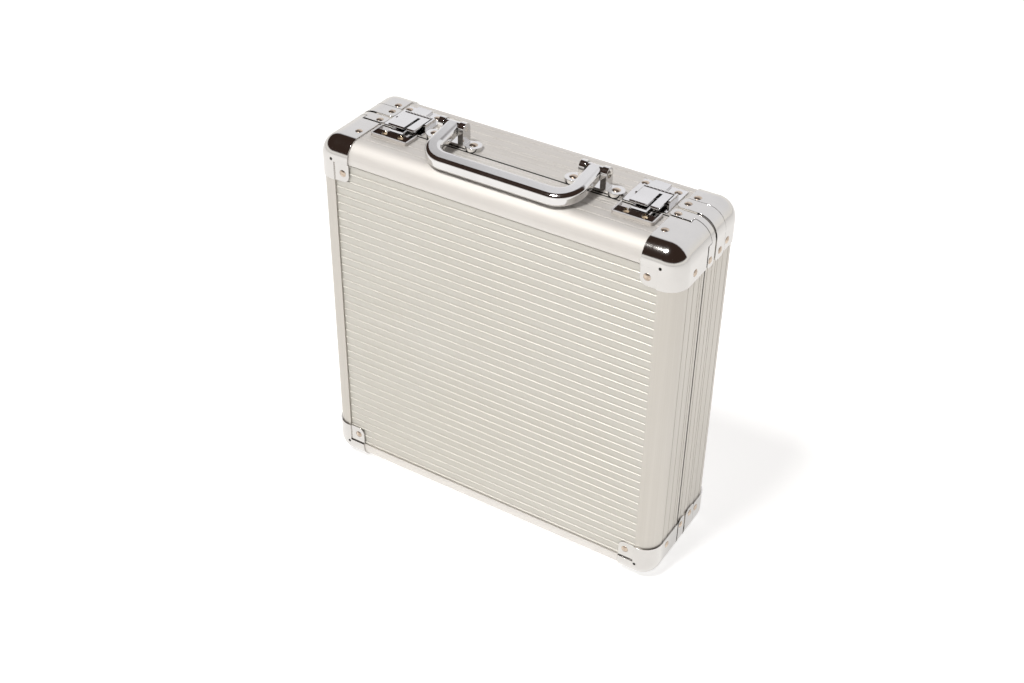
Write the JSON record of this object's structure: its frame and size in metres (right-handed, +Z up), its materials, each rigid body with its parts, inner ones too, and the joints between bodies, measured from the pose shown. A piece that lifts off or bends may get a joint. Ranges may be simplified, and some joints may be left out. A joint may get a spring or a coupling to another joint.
{
  "type": "poker chip case",
  "caption": "Slim square aluminium carrying case for poker chips, with ribbed faces, chrome corner caps, a folding handle and lever latches.",
  "frame": {"origin": "under the middle of the closed case with its handle folded forward, on the surface it stands on", "axes": "+X to the right seen from the lid, +Y from the lid (front) to the base (rear), +Z up towards the handle"},
  "size_m": [0.2768, 0.0872, 0.2892],
  "materials": {
    "ribbed_aluminium": "satin, level ribs",
    "satin_aluminium": "satin anodised",
    "board": "raw fibreboard",
    "chrome_sheet": "polished chrome",
    "chrome_cast": "polished chrome",
    "chrome_latch": "polished chrome",
    "pin_steel": "plain steel",
    "rivet_nickel": "nickel plated",
    "rivet_brass": "brass",
    "hinge_steel": "zinc plated",
    "tray_flock": "black flock",
    "foam": "convoluted foam"
  },
  "bodies": {
    "base": {"base_skin": "ribbed_aluminium", "base_board": "board", "base_frame_top": "satin_aluminium", "base_frame_bottom": "satin_aluminium", "base_frame_left": "satin_aluminium", "base_frame_right": "satin_aluminium", "base_rim_top": "satin_aluminium", "base_rim_bottom": "satin_aluminium", "base_rim_left": "satin_aluminium", "base_rim_right": "satin_aluminium", "base_cap_top_left": "chrome_sheet", "base_cap_top_right": "chrome_sheet", "base_cap_bottom_left": "chrome_sheet", "base_cap_bottom_right": "chrome_sheet", "base_bracket_top_left": "chrome_sheet", "base_bracket_top_right": "chrome_sheet", "base_bracket_bottom_left": "chrome_sheet", "base_bracket_bottom_right": "chrome_sheet", "rim_bracket_top_left": "chrome_sheet", "rim_bracket_top_right": "chrome_sheet", "rim_bracket_bottom_left": "chrome_sheet", "rim_bracket_bottom_right": "chrome_sheet", "base_rivets": "rivet_nickel", "hinge_leaf_base": "hinge_steel", "hinge_rivets_base": "hinge_steel", "hinge_pin": "hinge_steel", "handle_mount_left": "chrome_cast", "handle_mount_right": "chrome_cast", "handle_pins": "pin_steel", "handle_rivets": "rivet_nickel", "latch_base_left": "chrome_latch", "latch_base_right": "chrome_latch", "latch_pins": "pin_steel", "latch_rivets": "rivet_nickel", "chip_tray": "tray_flock"},
    "lid": {"lid_skin": "ribbed_aluminium", "lid_board": "board", "lid_frame_top": "satin_aluminium", "lid_frame_bottom": "satin_aluminium", "lid_frame_left": "satin_aluminium", "lid_frame_right": "satin_aluminium", "lid_cap_top_left": "chrome_sheet", "lid_cap_top_right": "chrome_sheet", "lid_cap_bottom_left": "chrome_sheet", "lid_cap_bottom_right": "chrome_sheet", "lid_rivets": "rivet_nickel", "hinge_leaf_lid": "hinge_steel", "hinge_rivets_lid": "hinge_steel", "strike_left": "chrome_latch", "strike_right": "chrome_latch", "strike_rivets": "rivet_brass", "lid_foam": "foam"},
    "handle": {"handle": "chrome_cast"},
    "left_lever": {"latch_lever_left": "chrome_latch", "claw_pin_left": "pin_steel"},
    "left_claw": {"latch_claw_left": "chrome_latch"},
    "right_lever": {"latch_lever_right": "chrome_latch", "claw_pin_right": "pin_steel"},
    "right_claw": {"latch_claw_right": "chrome_latch"}
  },
  "joints": [
    {"name": "lid_hinge", "type": "hinge", "parent": "base", "child": "lid", "pos_m": [0, -0.0056, 0.0025], "axis": [1, 0, 0], "range_deg": [0, 100]},
    {"name": "handle_fold", "type": "hinge", "parent": "base", "child": "handle", "pos_m": [0, 0.0001, 0.28485], "axis": [-1, 0, 0], "range_deg": [0, 198]},
    {"name": "left_lever_lift", "type": "hinge", "parent": "base", "child": "left_lever", "pos_m": [-0.0916, 0.0122, 0.27535], "axis": [-1, 0, 0], "range_deg": [0, 105]},
    {"name": "left_claw_swing", "type": "hinge", "parent": "left_lever", "child": "left_claw", "pos_m": [-0.0916, 0.0042, 0.2743], "axis": [-1, 0, 0], "range_deg": [-95, 0]},
    {"name": "right_lever_lift", "type": "hinge", "parent": "base", "child": "right_lever", "pos_m": [0.0916, 0.0122, 0.27535], "axis": [-1, 0, 0], "range_deg": [0, 105]},
    {"name": "right_claw_swing", "type": "hinge", "parent": "right_lever", "child": "right_claw", "pos_m": [0.0916, 0.0042, 0.2743], "axis": [-1, 0, 0], "range_deg": [-95, 0]}
  ],
  "couplings": [
    {"joint": "left_claw_swing", "follows": "left_lever_lift", "ratio": -0.9},
    {"joint": "right_claw_swing", "follows": "right_lever_lift", "ratio": -0.9}
  ]
}
